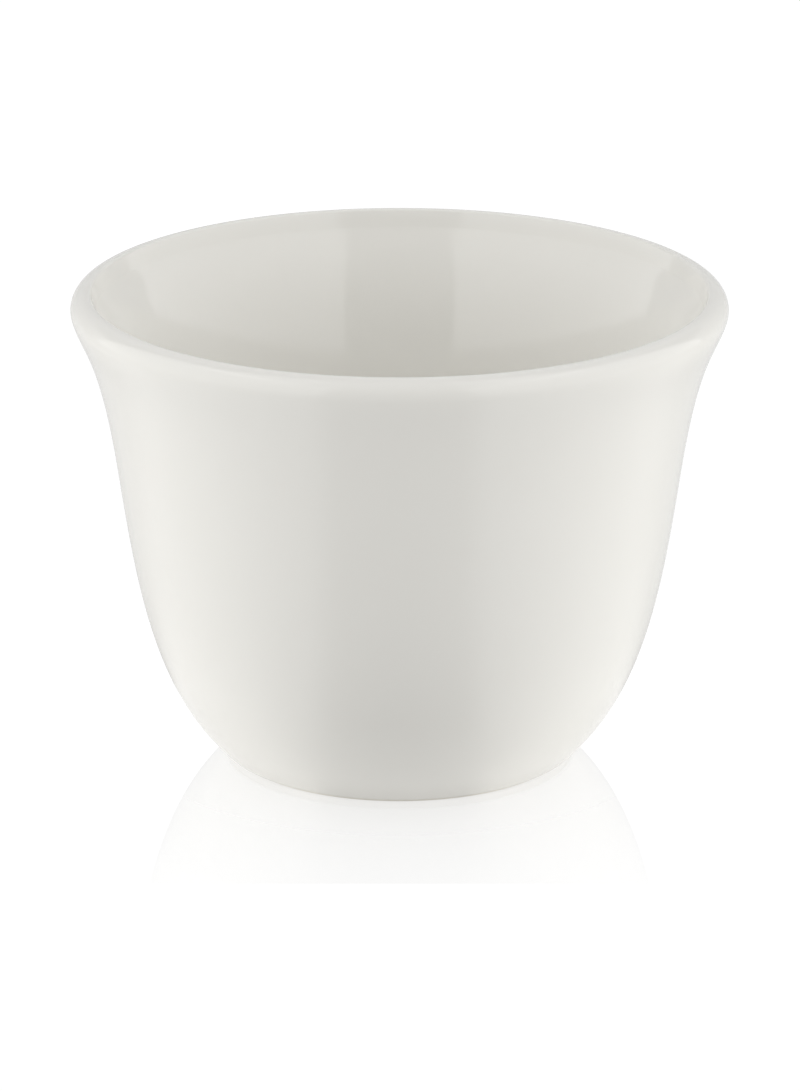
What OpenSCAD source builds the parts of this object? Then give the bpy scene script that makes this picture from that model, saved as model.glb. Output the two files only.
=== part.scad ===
// Arabic coffee cup: a small handleless porcelain cup with a narrow foot, a round belly and a flared lip.
// It is turned about the Z axis and stands on its foot ring at z = 0. Every length is in millimetres.
// The outline is drawn on the clay, and the glaze lies on it as an even coat.

/* [Overall] */
// Height of the finished cup, from the table to the top of the lip
cup_h = 48.4; // [44:0.1:56]
// Diameter of the finished cup over the flared lip
rim_d = 66; // [62:0.5:74]
// Diameter of the foot, where the wall rises from it
foot_d = 34.2; // [30:0.1:39]

/* [Outer wall] */
// Steepness of the wall where it leaves the foot, in degrees above the table
foot_angle = 39.5; // [34:0.5:46]
// Pull of the curve at the foot, as a share of the way to the waist: a larger one gives a rounder heel
foot_pull_share = 0.32; // [0.24:0.005:0.4]
// Diameter of the clay at its waist, the steepest place of the wall
waist_d = 56.8; // [54:0.1:59]
// Height of the waist above the table
waist_z = 31; // [28:0.1:34]
// Steepness of the wall at the waist, in degrees
waist_angle = 81.5; // [79:0.5:85]
// Pull of the curve below the waist, as a share of the way to the foot: a larger one gives a fuller belly
belly_pull_share = 0.365; // [0.28:0.005:0.45]
// Pull of the curve above the waist, as a share of the way to the lip: a larger one moves the flare up
neck_pull_share = 0.725; // [0.5:0.005:0.8]
// Steepness of the flare where it meets the lip, in degrees
lip_angle = 74; // [66:0.5:80]
// Pull of the curve at the lip, as a share of the way to the waist: a larger one opens the flare gently
flare_pull_share = 0.175; // [0.1:0.005:0.3]

/* [Thickness] */
// Thickness of the clay wall at the lip
wall_t = 2.1; // [1.6:0.1:2.8]
// Thickness of the clay wall at the heel, to which it grows on its way down
heel_t = 4.6; // [3.6:0.1:5.2]
// Radius of the clay's inner edge at the lip
lip_edge_r = 0.15; // [0.05:0.05:0.5]
// Height of the clay floor of the bowl, at its middle
floor_z = 4.4; // [3.6:0.1:5.4]

/* [Foot] */
// Width of the foot ring
ring_w = 2.4; // [1.8:0.1:3.6]
// Radius of the foot ring's two edges
foot_edge_r = 0.5; // [0.2:0.1:0.8]
// Depth of the recess under the cup
recess_h = 1.4; // [1.1:0.1:2]
// Steepness of the recess's side, in degrees
recess_angle = 60; // [45:1:75]
// Radius of the corner between the recess's side and its ceiling
recess_r = 0.8; // [0.4:0.1:1]

/* [Glaze] */
// Thickness of the glaze coat
coat_t = 0.2; // [0.1:0.05:0.4]
// Length of the wall above the foot's edge that is left dry
dry_l = 0.6; // [0.2:0.1:1.5]
// Length over which the coat's end rounds off to nothing
bead_l = 0.4; // [0.2:0.05:0.4]

/* [Hidden] */

// Steps along a long curve, round the lip, round a small edge and over the coat's rounded end
curve_steps = 24;
lip_steps = 14;
edge_steps = 6;
bead_steps = 4;
$fn = 96;

// Where the floor's curve leaves the wall, as a share of the lower wall's curve
heel_share = 0.4;
// How far the floor's curve is pulled into its corner, as shares of the floor's and the wall's way to it
floor_corner_share = 0.5;
heel_corner_share = 0.9;

clay_white = [0.93, 0.91, 0.87];
glaze_white = [0.94, 0.94, 0.92];

// The clay stops one coat short of the finished cup
clay_h = cup_h - coat_t;
clay_rim_r = rim_d / 2 - coat_t;
foot_r = foot_d / 2;

// A station is a place on the outline, [radius, height], and the way that the surface faces there
function between(a, b, share) = a + (b - a) * share;
function rising(angle) = [cos(angle), sin(angle)];
function facing(angle) = [sin(angle), -cos(angle)];
function places(stations) = [for (s = stations) s[0]];
function turned_over(list) = [for (i = [len(list) - 1 : -1 : 0]) list[i]];

// A cubic curve through guide points g: it leaves the first towards the second,
// and reaches the fourth from the third
function curve_place(g, t) =
    pow(1 - t, 3) * g[0] + 3 * pow(1 - t, 2) * t * g[1] + 3 * (1 - t) * t * t * g[2] + pow(t, 3) * g[3];
function curve_way(g, t) =
    let (way = pow(1 - t, 2) * (g[1] - g[0]) + 2 * (1 - t) * t * (g[2] - g[1]) + t * t * (g[3] - g[2]))
    way / norm(way);
function curve_station(g, t) =
    let (way = curve_way(g, t))
    [curve_place(g, t), [way[1], -way[0]]];

// An arc's stations, without its first place, which is where the stretch before it ended.
// A hollow arc is one that is seen from its centre.
function arc_stations(centre, radius, from, to, steps = edge_steps, hollow = false) =
    [for (i = [1 : steps])
        let (out = rising(between(from, to, i / steps)))
        [centre + radius * out, hollow ? -out : out]];

// The lip's outer round takes what the wall's thickness leaves beside its inner edge,
// so the two rounds meet at the top, on one line
lip_r = (wall_t - lip_edge_r * (1 - cos(lip_angle))) / (1 + cos(lip_angle));
lip_centre = [clay_rim_r - lip_r, clay_h - lip_r];
edge_centre = [clay_rim_r - lip_r, clay_h - lip_edge_r];

// Guide points of the outer wall below and above the waist
foot_start = [foot_r, foot_edge_r * (1 - cos(foot_angle))];
waist = [waist_d / 2, waist_z];
lip_start = lip_centre + lip_r * facing(lip_angle);
lower_way = norm(waist - foot_start);
upper_way = norm(lip_start - waist);
lower_guide = [foot_start, foot_start + lower_way * foot_pull_share * rising(foot_angle),
               waist - lower_way * belly_pull_share * rising(waist_angle), waist];
upper_guide = [waist, waist + upper_way * neck_pull_share * rising(waist_angle),
               lip_start - upper_way * flare_pull_share * rising(lip_angle), lip_start];

// The curve sets off at three times its first pull, which gives the shares of it
// at which the dry clay ends and the coat is full
foot_speed = 3 * lower_way * foot_pull_share;
dry_share = dry_l / foot_speed;
full_share = (dry_l + bead_l) / foot_speed;

bead_stations = [for (i = [0 : bead_steps])
    curve_station(lower_guide, between(dry_share, full_share, i / bead_steps))];
wall_stations = concat(
    [for (i = [1 : curve_steps]) curve_station(lower_guide, between(full_share, 1, i / curve_steps))],
    [for (i = [1 : curve_steps]) curve_station(upper_guide, i / curve_steps)]);

// The inside follows the outer wall, one wall's thickness in. The wall is thinnest at the lip,
// gains thickness on its way down, more slowly the lower it is, and is at its full thickness at the heel.
heel_z = curve_place(lower_guide, heel_share)[1];
function wall_at(z) =
    let (left = (z - heel_z) / (lip_start[1] - heel_z))
    between(heel_t, wall_t, left * left);
function inner_place(station) = station[0] - wall_at(station[0][1]) * station[1];
inside_places = concat(
    [for (i = [curve_steps : -1 : 0]) inner_place(curve_station(upper_guide, i / curve_steps))],
    [for (i = [curve_steps - 1 : -1 : 0])
        inner_place(curve_station(lower_guide, between(heel_share, 1, i / curve_steps)))]);

// Stations on a line of places, facing to the right of its way, without the first place
function faced(line) = [for (i = [1 : len(line) - 1])
    let (way = line[min(i + 1, len(line) - 1)] - line[i - 1])
        [line[i], [way[1], -way[0]] / norm(way)]];
inside_stations = faced(inside_places);

// The lip's inner edge turns until it runs the inside's way
inside_way = inside_places[1] - inside_places[0];
inside_angle = atan2(-inside_way[1], -inside_way[0]);
lip_stations = concat(
    arc_stations(lip_centre, lip_r, lip_angle - 90, 90, lip_steps),
    arc_stations(edge_centre, lip_edge_r, 90, 90 + inside_angle));

// The floor's curve rounds the corner where the wall's line would meet the floor
heel = inside_places[len(inside_places) - 1];
heel_way = curve_way(lower_guide, heel_share);
corner = heel - heel_way * (heel[1] - floor_z) / heel_way[1];
floor_guide = [heel, between(heel, corner, heel_corner_share),
               [corner[0] * floor_corner_share, floor_z], [0, floor_z]];
floor_stations = [for (i = [1 : curve_steps]) curve_station(floor_guide, i / curve_steps)];

// Everything that the main coat lies on, from the dry foot over the lip to the middle of the floor
coated_stations = concat(wall_stations, lip_stations, inside_stations, floor_stations);

// Under the cup: the recess's ceiling and side, and the ring's two rounded edges
side_face = [-sin(recess_angle), -cos(recess_angle)];
side_way = [-cos(recess_angle), sin(recess_angle)];
edge_in_centre = [foot_r - ring_w, foot_edge_r];
edge_out_centre = [foot_r - foot_edge_r * sin(foot_angle), foot_edge_r];
side_foot = edge_in_centre + foot_edge_r * side_face;
side_h = recess_h - recess_r * (1 - cos(recess_angle)) - side_foot[1];
side_top = side_foot + side_way * side_h / sin(recess_angle);
ceiling_centre = side_top + recess_r * side_face;

ceiling_stations = concat(
    [[[0, recess_h], [0, -1]], [[ceiling_centre[0], recess_h], [0, -1]]],
    arc_stations(ceiling_centre, recess_r, 90, 90 - recess_angle, hollow = true));
side_stations = [for (i = [0 : bead_steps])
    [side_foot + bead_l * (1 - i / bead_steps) * side_way, side_face]];
ring_stations = concat(
    arc_stations(edge_in_centre, foot_edge_r, 270 - recess_angle, 270),
    [[[edge_out_centre[0], 0], [0, -1]]],
    arc_stations(edge_out_centre, foot_edge_r, 270, 270 + foot_angle));

// The coat's thickness over its rounded end, from nothing at share 0 to full at share 1
function bead_coat(share) = coat_t * sqrt(1 - pow(1 - share, 2));
function coat_face(stations) = [for (s = stations) s[0] + coat_t * s[1]];

module porcelain_body() {
    color(clay_white)
        rotate_extrude()
            polygon(concat(places(ceiling_stations), places(side_stations), places(ring_stations),
                           places(bead_stations), places(coated_stations)));
}

// The coat's closed outline: out along the clay, and back along the coat's own face
module cup_glaze() {
    bead_face = [for (i = [1 : bead_steps])
        bead_stations[i][0] + bead_coat(i / bead_steps) * bead_stations[i][1]];
    color(glaze_white)
        rotate_extrude()
            polygon(concat(places(bead_stations), places(coated_stations),
                           turned_over(coat_face(coated_stations)), turned_over(bead_face)));
}

module foot_glaze() {
    bead_face = [for (i = [0 : bead_steps - 1])
        side_stations[i][0] + bead_coat(1 - i / bead_steps) * side_stations[i][1]];
    color(glaze_white)
        rotate_extrude()
            polygon(concat(places(ceiling_stations), places(side_stations),
                           turned_over(bead_face), turned_over(coat_face(ceiling_stations))));
}

porcelain_body();
cup_glaze();
foot_glaze();
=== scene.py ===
# %% [markdown]
# # A small coffee cup, turned and glazed
#
# The cup is one lump of white porcelain, turned on a wheel, dipped in a clear glaze and fired. It has no
# handle. A narrow foot ring stays dry, because glaze would stick to the kiln's shelf. This lesson loads
# the measured model of the cup as a fixed frame, and makes the pieces that are seen: the clay, the glaze
# coat over it, and the patch of glaze under the foot. Every length is in metres, and Z is the cup's axis.

# %% Load the frame
import math

import bpy
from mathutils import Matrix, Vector


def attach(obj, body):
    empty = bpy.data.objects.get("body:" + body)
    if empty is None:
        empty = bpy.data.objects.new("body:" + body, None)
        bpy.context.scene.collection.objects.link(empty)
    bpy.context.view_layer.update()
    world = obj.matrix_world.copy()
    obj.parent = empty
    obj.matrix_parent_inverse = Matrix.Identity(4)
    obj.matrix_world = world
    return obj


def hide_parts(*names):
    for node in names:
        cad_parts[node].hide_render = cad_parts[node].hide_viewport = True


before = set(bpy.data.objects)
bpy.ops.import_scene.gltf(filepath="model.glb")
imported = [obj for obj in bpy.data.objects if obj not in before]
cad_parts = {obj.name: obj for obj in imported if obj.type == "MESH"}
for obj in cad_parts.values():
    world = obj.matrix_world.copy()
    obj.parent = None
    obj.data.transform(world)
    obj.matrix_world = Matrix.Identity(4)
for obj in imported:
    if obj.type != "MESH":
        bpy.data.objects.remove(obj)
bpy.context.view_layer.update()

# %% [markdown]
# ## The camera
#
# The picture was taken with a long lens from a little above the rim, so the lip shows as a flat ellipse
# and the sides hardly converge. The camera could be placed by eye, but its height is what sets how open
# the ellipse looks. So the angle, the distance and the lens are numbers that were worked out from the
# ellipses of the lip and the foot, and a small shift puts the cup where the picture has it.

# %% Camera
PHOTO_W, PHOTO_H = 800, 1091
VIEW_DOWN = math.radians(17.54)
VIEW_FAR = 0.7
AIM = Vector((0, 0, 0.025))
LENS_PX = 6914
CUP_SHIFT = Vector((-0.43, 33.5))
SENSOR_MM, SIGHT_END = 36, 10

back = Vector((0, -math.cos(VIEW_DOWN), math.sin(VIEW_DOWN)))
bpy.ops.object.camera_add(location=AIM + VIEW_FAR * back)
camera = bpy.context.object
camera.name = "camera"
camera.rotation_euler = (-back).to_track_quat("-Z", "Y").to_euler()
camera.data.sensor_width = SENSOR_MM
camera.data.lens = SENSOR_MM * LENS_PX / PHOTO_H
camera.data.shift_x = -CUP_SHIFT.x / PHOTO_H
camera.data.shift_y = -CUP_SHIFT.y / PHOTO_H
camera.data.clip_end = SIGHT_END
bpy.context.scene.camera = camera
print("camera", [round(v, 4) for v in camera.location], "lens", round(camera.data.lens, 1))

# %% [markdown]
# ## The section of the cup
#
# A turned piece is known by half its section. The wall is two soft curves that meet at the waist, where
# it stands steepest: the lower one is the round belly, the upper one the flare. Two rounds make the lip.
# A curve with a start, an end and two pulls is what the pen tool draws in any drawing program, and its
# few numbers are the same ones that the measured model was built from, so both agree everywhere.

# %% Sizes
MM = 0.001
CUP_H, RIM_D, FOOT_D = 48.4 * MM, 66 * MM, 34.2 * MM
FOOT_ANGLE, WAIST_ANGLE, LIP_ANGLE = math.radians(39.5), math.radians(81.5), math.radians(74)
WAIST = Vector((28.4, 31)) * MM
FOOT_PULL, BELLY_PULL, NECK_PULL, FLARE_PULL = 0.32, 0.365, 0.725, 0.175
WALL_T, HEEL_T, LIP_EDGE_R, FLOOR_Z = 2.1 * MM, 4.6 * MM, 0.15 * MM, 4.4 * MM
RING_W, FOOT_EDGE_R = 2.4 * MM, 0.5 * MM
RECESS_H, RECESS_ANGLE, RECESS_R = 1.4 * MM, math.radians(60), 0.8 * MM
COAT_T, DRY_L, BEAD_L = 0.2 * MM, 0.6 * MM, 0.4 * MM
HEEL_SHARE, FLOOR_CORNER, HEEL_CORNER = 0.4, 0.5, 0.9
CURVE_STEPS, ARC_STEPS, BEAD_STEPS = 36, 16, 8

# %% Curves and arcs
def between(a, b, share):
    return a + (b - a) * share


def along(angle):
    return Vector((math.cos(angle), math.sin(angle)))


def pen_curve(guide, shares):
    """Places on a pen curve, each with the way that the surface to its right faces."""
    a, b, c, d = guide
    stations = []
    for t in shares:
        place = a * (1 - t) ** 3 + b * 3 * (1 - t) ** 2 * t + c * 3 * (1 - t) * t * t + d * t ** 3
        way = ((b - a) * (1 - t) ** 2 + (c - b) * 2 * (1 - t) * t + (d - c) * t * t).normalized()
        stations.append((place, Vector((way.y, -way.x))))
    return stations


def arc(centre, radius, start, end, hollow=False):
    """Places round a small arc, without the first, which is where the stretch before it ended."""
    outs = [along(between(start, end, i / ARC_STEPS)) for i in range(1, ARC_STEPS + 1)]
    return [(centre + radius * out, -out if hollow else out) for out in outs]


def steps(count, start=0, end=1):
    """Even shares from start to end, without the first."""
    return [between(start, end, i / count) for i in range(1, count + 1)]


def up_to(count, start=0, end=1):
    return [start] + steps(count, start, end)


# %% The outer wall
UP, DOWN = math.radians(90), math.radians(270)
foot_r = FOOT_D / 2
clay_rim = Vector((RIM_D / 2 - COAT_T, CUP_H - COAT_T))
lip_r = (WALL_T - LIP_EDGE_R * (1 - math.cos(LIP_ANGLE))) / (1 + math.cos(LIP_ANGLE))
lip_centre = clay_rim - Vector((lip_r, lip_r))
edge_centre = clay_rim - Vector((lip_r, LIP_EDGE_R))
foot_start = Vector((foot_r, FOOT_EDGE_R * (1 - math.cos(FOOT_ANGLE))))
lip_start = lip_centre + lip_r * along(LIP_ANGLE - UP)
belly_l = (WAIST - foot_start).length
flare_l = (lip_start - WAIST).length
belly = (foot_start, foot_start + belly_l * FOOT_PULL * along(FOOT_ANGLE),
         WAIST - belly_l * BELLY_PULL * along(WAIST_ANGLE), WAIST)
flare = (WAIST, WAIST + flare_l * NECK_PULL * along(WAIST_ANGLE),
         lip_start - flare_l * FLARE_PULL * along(LIP_ANGLE), lip_start)

pull_speed = 3 * belly_l * FOOT_PULL
dry_share, full_share = DRY_L / pull_speed, (DRY_L + BEAD_L) / pull_speed
bead = pen_curve(belly, up_to(BEAD_STEPS, dry_share, full_share))
outside = pen_curve(belly, steps(CURVE_STEPS, full_share, 1)) + pen_curve(flare, steps(CURVE_STEPS))
print("foot", round(foot_start.x / MM, 2), "waist", round(WAIST.x / MM, 2), "mm")

# %% [markdown]
# ## The inside and the lip
#
# The mirrored edge of a lamp inside the bowl shows how steep the inner wall is. A wall of one thickness
# would put that edge much too high. A thrown wall is thickest low down, where it carries the rest. So this
# one grows from 2 mm at the lip to well over 4 mm at the heel, slower and slower, which brings the edge
# down to within a few pixels of the picture's.

# %% The inside, the lip and the bowl's floor
heel_out, heel_face = pen_curve(belly, [HEEL_SHARE])[0]


def inner_place(place, face):
    """The place on the inside that lies one wall's thickness in from a place on the outside."""
    left = (place.y - heel_out.y) / (lip_start.y - heel_out.y)
    return place - between(HEEL_T, WALL_T, left * left) * face


def faced(line):
    """Each place of a line but its first, with the way that the surface to its right faces."""
    ways = [(after - before).normalized() for before, after in zip(line, line[2:] + line[-1:])]
    return [(place, Vector((way.y, -way.x))) for place, way in zip(line[1:], ways)]


outside_down = (pen_curve(flare, up_to(CURVE_STEPS, 1, 0))
                + pen_curve(belly, steps(CURVE_STEPS, 1, HEEL_SHARE)))
inner_line = [inner_place(place, face) for place, face in outside_down]
inside = faced(inner_line)
inside_way = inner_line[0] - inner_line[1]
lip = (arc(lip_centre, lip_r, LIP_ANGLE - UP, UP)
       + arc(edge_centre, LIP_EDGE_R, UP, UP + math.atan2(inside_way.y, inside_way.x)))

heel = inner_line[-1]
heel_way = Vector((-heel_face.y, heel_face.x))
corner = heel - heel_way * (heel.y - FLOOR_Z) / heel_way.y
bowl_floor = pen_curve((heel, between(heel, corner, HEEL_CORNER),
                        Vector((corner.x * FLOOR_CORNER, FLOOR_Z)), Vector((0, FLOOR_Z))),
                       steps(CURVE_STEPS))
coated = outside + lip + inside + bowl_floor
print("wall", len(outside), "lip", len(lip), "inside", len(inside) + len(bowl_floor))

# %% Under the foot
side_face = -along(UP - RECESS_ANGLE)
side_way = Vector((-math.cos(RECESS_ANGLE), math.sin(RECESS_ANGLE)))
ring_in = Vector((foot_r - RING_W, FOOT_EDGE_R))
ring_out = Vector((foot_r - FOOT_EDGE_R * math.sin(FOOT_ANGLE), FOOT_EDGE_R))
side_foot = ring_in + FOOT_EDGE_R * side_face
side_h = RECESS_H - RECESS_R * (1 - math.cos(RECESS_ANGLE)) - side_foot.y
side_top = side_foot + side_way * side_h / math.sin(RECESS_ANGLE)
ceiling_centre = side_top + RECESS_R * side_face
ceiling = ([(Vector((ceiling_centre.x * share, RECESS_H)), Vector((0, -1))) for share in up_to(ARC_STEPS)]
           + arc(ceiling_centre, RECESS_R, UP, UP - RECESS_ANGLE, hollow=True))
recess_side = [(side_foot + BEAD_L * (1 - share) * side_way, side_face) for share in up_to(BEAD_STEPS)]
ring_arc_in = arc(ring_in, FOOT_EDGE_R, DOWN - RECESS_ANGLE, DOWN)
ring_arc_out = arc(ring_out, FOOT_EDGE_R, DOWN, DOWN + FOOT_ANGLE)
ring = ring_arc_in + [(Vector((ring_out.x, 0)), Vector((0, -1)))] + ring_arc_out
print("ring", round((ring_out.x - ring_in.x) / MM, 2), "mm flat, recess", round(RECESS_H / MM, 2), "mm deep")

# %% [markdown]
# ## Turning a piece
#
# A potter throws the cup on a wheel, and a factory presses it against a spinning mould: either way it is
# a section turned about an axis. A cylinder pushed into shape would need every ring scaled by hand, and
# the spin tool gets slow with this many points. Here a single point is extruded along the section, and
# the Screw modifier, with no climb, turns it round the axis as a lathe does. The seam and the points that
# fall together on the axis are merged, and the faces are then turned outwards.

# %% Turn a section into a piece
TURN_STEPS = 192
MERGE_WITHIN = MM / 1000
SMOOTH_TO = math.radians(40)


def turn(name, places):
    """Extrudes a point along the places in the XZ plane, and turns that line about Z into a piece."""
    bpy.ops.object.select_all(action="DESELECT")
    bpy.ops.mesh.primitive_plane_add(size=MM)
    piece = bpy.context.object
    piece.name = piece.data.name = name
    bpy.ops.object.mode_set(mode="EDIT")
    bpy.ops.mesh.merge(type="CENTER")
    bpy.ops.transform.translate(value=(places[0].x, 0, places[0].y))
    for here, there in zip(places, places[1:]):
        bpy.ops.mesh.extrude_vertices_move(
            TRANSFORM_OT_translate={"value": (there.x - here.x, 0, there.y - here.y)})
    bpy.ops.object.mode_set(mode="OBJECT")
    bpy.ops.object.modifier_add(type="SCREW")
    lathe = piece.modifiers[-1]
    lathe.axis, lathe.angle, lathe.screw_offset = "Z", math.tau, 0
    lathe.steps = lathe.render_steps = TURN_STEPS
    bpy.ops.object.modifier_apply(modifier=lathe.name)
    bpy.ops.object.mode_set(mode="EDIT")
    bpy.ops.mesh.select_all(action="SELECT")
    bpy.ops.mesh.remove_doubles(threshold=MERGE_WITHIN)
    bpy.ops.mesh.normals_make_consistent(inside=False)
    bpy.ops.object.mode_set(mode="OBJECT")
    bpy.ops.object.transform_apply(location=True, rotation=True, scale=True)
    bpy.ops.object.shade_smooth_by_angle(angle=SMOOTH_TO)
    print(name, len(piece.data.vertices), "points", len(piece.data.polygons), "faces")
    return piece


# %% [markdown]
# ## The clay
#
# The fired clay is the whole body of the cup. Only its foot ring is seen: a flat dry band, ground smooth,
# with two softened edges, and a thread of bare clay above it where the glaze was wiped off.

# %% Clay
clay = turn("clay_body", [s[0] for s in ceiling + recess_side[1:] + ring + bead + coated])

# %% [markdown]
# ## The glaze coat
#
# The glaze is a skin of glass, a fifth of a millimetre thick. It could be a material on the clay, but then
# its rounded end above the dry foot would be missing, and that small shadow line tells the eye that the
# gloss is a coat. So it is a closed piece: the section runs out along the coat's own face and back along
# the clay.

# %% Glaze outside, over the lip and inside
def coat_face(stations):
    return [place + COAT_T * face for place, face in stations]


def bead_face(stations, shares):
    """The rounded end of a coat: nothing at share 0, and the full thickness at share 1."""
    return [place + COAT_T * math.sqrt(1 - (1 - share) ** 2) * face
            for (place, face), share in zip(stations, shares)]


coat_out = bead_face(bead, up_to(BEAD_STEPS)) + coat_face(coated)
coat_back = [s[0] for s in bead[1:] + coated]
glaze = turn("glaze_coat", coat_out[::-1] + coat_back)

# %% Glaze under the foot
patch_out = coat_face(ceiling) + bead_face(recess_side[1:], up_to(BEAD_STEPS)[-2::-1])
patch_back = [s[0] for s in ceiling + recess_side[1:-1]]
foot_patch = turn("glaze_foot_patch", patch_out + patch_back[::-1])

# %% [markdown]
# ## Writing finishes as sums
#
# A finish is a small graph of nodes. Wiring them by hand takes a page for one formula, so a flow wraps a
# node's socket and lets Python's own signs add the Math nodes, and one method adds every other node.

# %% Flows and finishes
class Flow:
    """A number or colour that flows out of a node. Its sums and products add Math nodes."""

    def __init__(self, finish, socket):
        self.finish, self.socket = finish, socket

    def __add__(self, other):
        return self.finish.sum("ADD", self, other)

    def __mul__(self, other):
        return self.finish.sum("MULTIPLY", self, other)

    def __sub__(self, other):
        return self.finish.sum("SUBTRACT", self, other)

    def __rsub__(self, other):
        return self.finish.sum("SUBTRACT", other, self)

    __radd__, __rmul__ = __add__, __mul__


class Finish:
    """The node tree of a material or of the world."""

    def __init__(self, owner):
        owner.use_nodes = True
        self.tree = owner.node_tree
        self.tree.nodes.clear()

    def node(self, kind, settings=None, sockets=None, out=0):
        """Adds a node: its settings first, then the values or links of its sockets."""
        made = self.tree.nodes.new("ShaderNode" + kind)
        for name, value in (settings or {}).items():
            setattr(made, name, value)
        for name, value in (sockets or {}).items():
            if isinstance(value, Flow):
                self.tree.links.new(value.socket, made.inputs[name])
            else:
                made.inputs[name].default_value = value
        return Flow(self, made.outputs[out]) if made.outputs else None

    def sum(self, operation, *values):
        return self.node("Math", {"operation": operation}, dict(enumerate(values)))

    def blend(self, share, low, high):
        """One colour at share 0, the other at share 1."""
        return self.node("Mix", {"data_type": "RGBA"}, {0: share, 6: low, 7: high}, out=2)

    def ease(self, value, start, end, low=0, high=1):
        """A soft step of a value, from low at its start to high at its end."""
        return self.node("MapRange", {"interpolation_type": "SMOOTHSTEP"},
                         {0: value, 1: start, 2: end, 3: low, 4: high})

    def grain(self, size, detail=2):
        """Noise in the piece's own space, around 0.5, whose spots are about size across."""
        place = self.node("TexCoord", out="Object")
        return self.node("TexNoise", {}, {0: place, "Scale": 1 / size, "Detail": detail})


def material(name):
    made = bpy.data.materials.new(name)
    return made, Finish(made)


# %% [markdown]
# ## White glaze
#
# Clear glaze over white porcelain looks like a very light, slightly warm grey under a sharp gloss. Glossy
# paint would be a flat colour and one roughness. Fired glaze is never that even: it pulls into a faint
# orange-peel skin, its tone drifts a little, it thins over the lip and it gathers in the bead at the foot.
# The last few millimetres above the foot are also painted darker, as painted shade of the thin dark
# contact line there. All of that is small, so it is felt in the reflections more than it is seen.

# %% Glaze finish
GLAZE_LOW, GLAZE_HIGH = (0.822, 0.809, 0.764, 1), (0.834, 0.822, 0.780, 1)
# The pooled colour is darker partly for thick glaze and partly as painted shade at the foot.
GLAZE_THIN, GLAZE_POOLED_SHADED = (0.85, 0.84, 0.805, 1), (0.76, 0.745, 0.695, 1)
GLAZE_IOR = 1.5
DRIFT_SPOT, SKIN_SPOT, FINE_SPOT = 12 * MM, 9 * MM, 1.4 * MM
THIN_H, POOL_SHADE_TOP, POOL_SHADE_FULL = 1.2 * MM, 3.2 * MM, 0.4 * MM
SKIN_DEPTH = 0.03 * MM

glaze_look, f = material("glaze_white")
height = f.node("SeparateXYZ", {}, {0: f.node("TexCoord", out="Object")}, out="Z")
drift = f.grain(DRIFT_SPOT, detail=3)
lip_thin = f.ease(height, CUP_H - THIN_H, CUP_H)
# Darker towards the foot: partly pooled glaze, partly painted shade of the foot's contact line.
foot_pool_and_shade = f.ease(height, POOL_SHADE_TOP, POOL_SHADE_FULL)
tone = f.blend(drift, GLAZE_LOW, GLAZE_HIGH)
tone = f.blend(lip_thin * 0.5, tone, GLAZE_THIN)
tone = f.blend(foot_pool_and_shade * 0.5, tone, GLAZE_POOLED_SHADED)
skin = f.grain(SKIN_SPOT, detail=1) * 0.75 + f.grain(FINE_SPOT, detail=1) * 0.06
look = f.node("BsdfPrincipled", {}, {
    "Base Color": tone,
    "Roughness": 0.07 + 0.05 * drift,
    "IOR": GLAZE_IOR,
    "Normal": f.node("Bump", {}, {"Strength": 1.0, "Distance": SKIN_DEPTH, "Height": skin})})
f.node("OutputMaterial", {}, {"Surface": look})

# %% [markdown]
# ## Bare clay
#
# Fired porcelain without glaze is matte and faintly creamy, like fine paper. The foot ring is rubbed
# smooth on a wet stone, which leaves a fine grain, and its flat picks up a little grey from the shelf.

# %% Clay finish
CLAY_LOW, CLAY_HIGH = (0.72, 0.69, 0.62, 1), (0.80, 0.775, 0.71, 1)
SHELF_GREY = (0.55, 0.53, 0.48, 1)
GRAIN_SPOT, WORN_SPOT = 0.4 * MM, 5 * MM
WORN_H, GRAIN_DEPTH = 0.2 * MM, 0.02 * MM

clay_look, f = material("clay_bisque")
height = f.node("SeparateXYZ", {}, {0: f.node("TexCoord", out="Object")}, out="Z")
fine, coarse = f.grain(GRAIN_SPOT), f.grain(WORN_SPOT)
worn = f.ease(height, WORN_H, 0) * coarse
tone = f.blend(fine, CLAY_LOW, CLAY_HIGH)
tone = f.blend(worn * 0.6, tone, SHELF_GREY)
look = f.node("BsdfPrincipled", {}, {
    "Base Color": tone,
    "Roughness": 0.8 - 0.15 * worn,
    "Normal": f.node("Bump", {}, {"Strength": 1.0, "Distance": GRAIN_DEPTH, "Height": fine})})
f.node("OutputMaterial", {}, {"Surface": look})

# %% Give each piece its finish and its place in the frame
for piece, finish, slot_name, stands_for in (
        (clay, clay_look, "bisque_porcelain", "porcelain_body"),
        (glaze, glaze_look, "white_glaze", "cup_glaze"),
        (foot_patch, glaze_look, "white_glaze", "foot_glaze")):
    piece.data.materials.clear()
    piece.data.materials.append(finish)
    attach(piece, "root")
    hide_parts(stands_for)
    print(piece.name, "stands for", stands_for)
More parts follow.
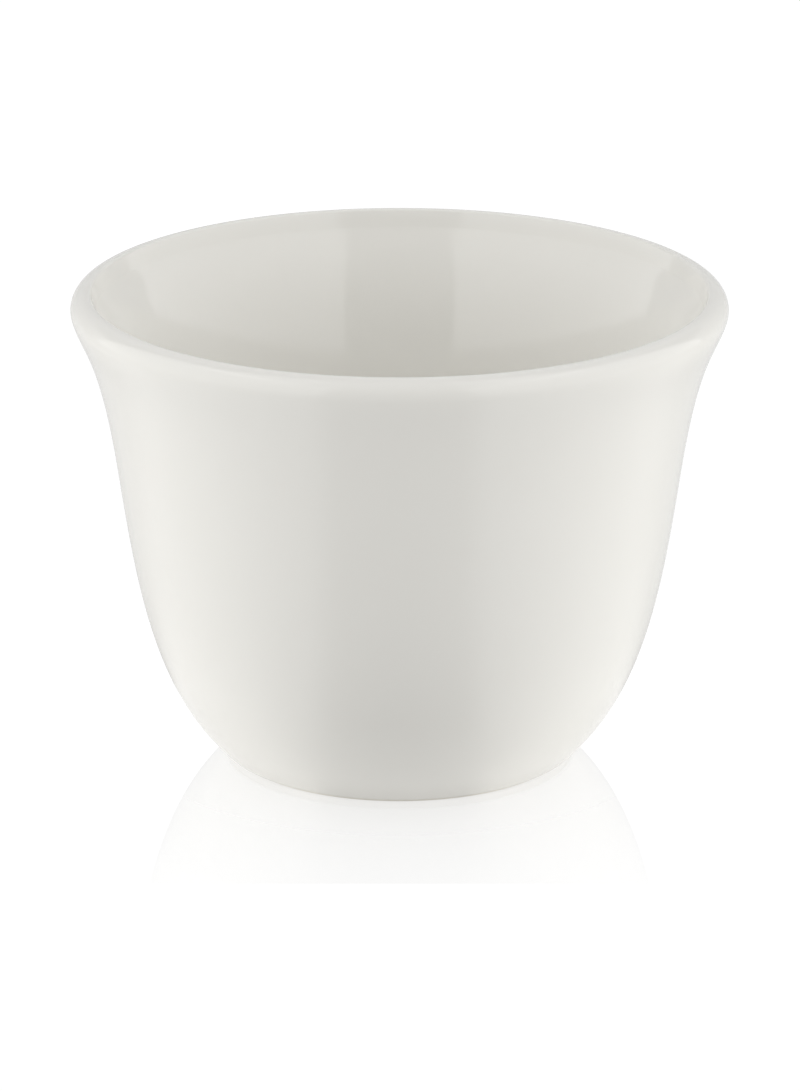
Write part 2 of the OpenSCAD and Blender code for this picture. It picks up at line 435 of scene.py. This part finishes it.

# %% [markdown]
# ## The floor
#
# The cup stands on a bright acrylic sheet: under the foot there is a pale mirror image that fades away,
# and ends on a straight line in front, where the sheet ends and plain paper goes on. A mirror would show
# the whole cup. So the shine is strongest at the foot, and is gone a few centimetres out. For the camera
# the sheet glows to white by itself, so the lamps can stay soft, and a part of it is still real light,
# which keeps the cup's contact shadow. Seen from under it the sheet is clear, so the foot can be looked
# at. It lies a hair below the ring, so the two flats never fight over one plane.
#
# The belly leans out over the sheet, so what its gloss mirrors is the sheet. A sheet of one brightness
# would make the outside even. The picture has a dim band down the middle. So the sheet's own glow is
# brightest at the cup's sides, weaker close round the foot and behind the cup, and in front there is a
# dim path, where the sheet's matte grey is also darker: painted shade that the gloss mirrors as the band.
# Angles on the sheet are counted from the camera's side, round to the back.

# %% Floor
WHITE, BLACK = (1, 1, 1, 1), (0, 0, 0, 1)
SHEET_L, SHEET_SUNK = 6, MM / 100
SHINE_FROM, SHINE_TO, SHINE_MOST = 15 * MM, 63 * MM, 0.35
SHEET_FRONT, FRONT_SOFT = 40 * MM, 0.6 * MM
SEEN_GLOW, SEEN_MATTE = 0.92, (0.12, 0.12, 0.12, 1)
PATH_EDGE, SIDE_EDGE = math.radians(20), math.radians(32)
BACK_FROM, BACK_TO, BACK_LEFT = math.radians(95), math.radians(125), 0.37
NEAR_FULL, NEAR_END, NEAR_GLOW = 25 * MM, 31 * MM, 0.74
PATH_GLOW, SIDE_GAIN, LIT_GLOW = 0.2, 0.7, 0.6
# The path grey is painted shade, darker than the sides, that the cup's gloss mirrors.
PATH_SHADE_GREY, SIDE_MATTE = (0.38, 0.38, 0.38, 1), (0.6, 0.6, 0.6, 1)

bpy.ops.object.select_all(action="DESELECT")
bpy.ops.mesh.primitive_plane_add(size=SHEET_L, location=(0, 0, -SHEET_SUNK))
floor = bpy.context.object
floor.name = "floor_sheet"
floor_look, f = material("floor_white")
place = f.node("TexCoord", out="Object")
out_from_cup = f.node("VectorMath", {"operation": "LENGTH"}, {0: place}, out="Value")
sideways = f.sum("ABSOLUTE", f.node("SeparateXYZ", {}, {0: place}, out="X"))
forwards = f.node("SeparateXYZ", {}, {0: place}, out="Y") * -1
shine = f.node("MapRange", {}, {0: out_from_cup, 1: SHINE_FROM, 2: SHINE_TO, 3: SHINE_MOST, 4: 0})
shine = shine * f.ease(forwards, SHEET_FRONT + FRONT_SOFT, SHEET_FRONT)
glow = f.node("AddShader", {}, {
    0: f.node("Emission", {}, {"Color": WHITE, "Strength": SEEN_GLOW}),
    1: f.node("BsdfDiffuse", {}, {"Color": SEEN_MATTE})})
mirror = f.node("BsdfGlossy", {}, {"Color": WHITE, "Roughness": 0})
sheet_seen = f.node("MixShader", {}, {0: shine, 1: glow, 2: mirror})

turned = f.sum("ARCTAN2", sideways, forwards)
path = f.ease(turned, PATH_EDGE, SIDE_EDGE)
behind = f.ease(turned, BACK_FROM, BACK_TO, 1, BACK_LEFT)
near = f.ease(out_from_cup, NEAR_END, NEAR_FULL)
glow_share = near * NEAR_GLOW + (1 - near) * (PATH_GLOW + SIDE_GAIN * path) * behind
sheet_lit = f.node("AddShader", {}, {
    0: f.node("Emission", {}, {"Color": f.blend(glow_share, BLACK, WHITE), "Strength": LIT_GLOW}),
    # In the front path the sheet is a darker grey: painted shade, seen only in the cup's gloss.
    1: f.node("BsdfDiffuse", {}, {"Color": f.blend(path, PATH_SHADE_GREY, SIDE_MATTE)})})

camera_ray = f.node("LightPath", out="Is Camera Ray")
sheet = f.node("MixShader", {}, {0: camera_ray, 1: sheet_lit, 2: sheet_seen})
from_below = f.node("NewGeometry", out="Backfacing")
sheet = f.node("MixShader", {}, {0: from_below, 1: sheet, 2: f.node("BsdfTransparent")})
f.node("OutputMaterial", {}, {"Surface": sheet})
floor.data.materials.append(floor_look)
print("floor", [round(v, 2) for v in floor.dimensions])

# %% [markdown]
# ## The light
#
# A white cup is made visible by what it mirrors. Two tall soft walls of light stand at its sides and reach
# round towards the camera, and inside the bowl they show as two even panels. Nothing stands between them,
# and that gap is the dim band on the far side of the bowl. A box high at each side and one behind the
# cup light the lip, and a dim backdrop keeps the lip's two ends from going dark. One lamp overhead would
# be simpler, but it would leave the inside dark and give no bands at all. The room adds a weak even
# light, and where the camera or the sheet's mirror sees the room, it is white.

# %% Lamps and room
def soft_box(name, middle, wide, tall, brightness, aim=Vector()):
    """A flat lamp that faces a place. Brightness 1 looks as bright as a white page."""
    bpy.ops.object.light_add(type="AREA", location=middle)
    lamp = bpy.context.object
    lamp.name = name
    lamp.data.shape = "RECTANGLE"
    lamp.data.size, lamp.data.size_y = wide, tall
    lamp.data.energy = brightness * math.pi * wide * tall
    lamp.rotation_euler = (Vector(middle) - aim).to_track_quat("Z", "Y").to_euler()
    lamp.visible_camera = False
    print(name, "at", [round(v, 2) for v in lamp.location], "brightness", brightness)


WALL_TURNED, WALL_FAR, WALL_WIDE, WALL_TALL, WALL_BRIGHT = math.radians(75), 0.8, 1.88, 1.4, 1.08
HIGH_OUT, HIGH_FORWARD, HIGH_UP, HIGH_L, HIGH_BRIGHT = 0.7, 0.1, 1.5, 0.8, 0.82
BOX_BACK, BOX_UP, BOX_WIDE, BOX_TALL, BOX_BRIGHT = 0.65, 0.63, 1.0, 0.4, 0.33
DROP_BACK, DROP_WIDE, DROP_TALL, DROP_BRIGHT = 1.2, 3.6, 0.7, 0.32
ROOM_BRIGHT = 0.31

wall_way = WALL_FAR * along(WALL_TURNED - UP)
for side, sign in (("left", -1), ("right", 1)):
    soft_box("wall_" + side, (sign * wall_way.x, wall_way.y, WALL_TALL / 2), WALL_WIDE, WALL_TALL,
             WALL_BRIGHT, aim=Vector((0, 0, WALL_TALL / 2)))
    soft_box("high_" + side, (sign * HIGH_OUT, -HIGH_FORWARD, HIGH_UP), HIGH_L, HIGH_L, HIGH_BRIGHT)
soft_box("back_box", (0, BOX_BACK, BOX_UP), BOX_WIDE, BOX_TALL, BOX_BRIGHT)
soft_box("backdrop", (0, DROP_BACK, DROP_TALL / 2), DROP_WIDE, DROP_TALL,
         DROP_BRIGHT, aim=Vector((0, 0, DROP_TALL / 2)))

world = bpy.data.worlds.new("room")
bpy.context.scene.world = world
f = Finish(world)
by_camera = f.node("LightPath", out="Is Camera Ray")
by_mirror = f.node("LightPath", out="Is Singular Ray")
seen = f.sum("MAXIMUM", by_camera, by_mirror)
room = f.node("Background", {}, {"Color": WHITE, "Strength": seen * (1 - ROOM_BRIGHT) + ROOM_BRIGHT})
f.node("OutputWorld", {}, {"Surface": room})

# %% Colours as they are
scene = bpy.context.scene
scene.view_settings.view_transform = "Standard"
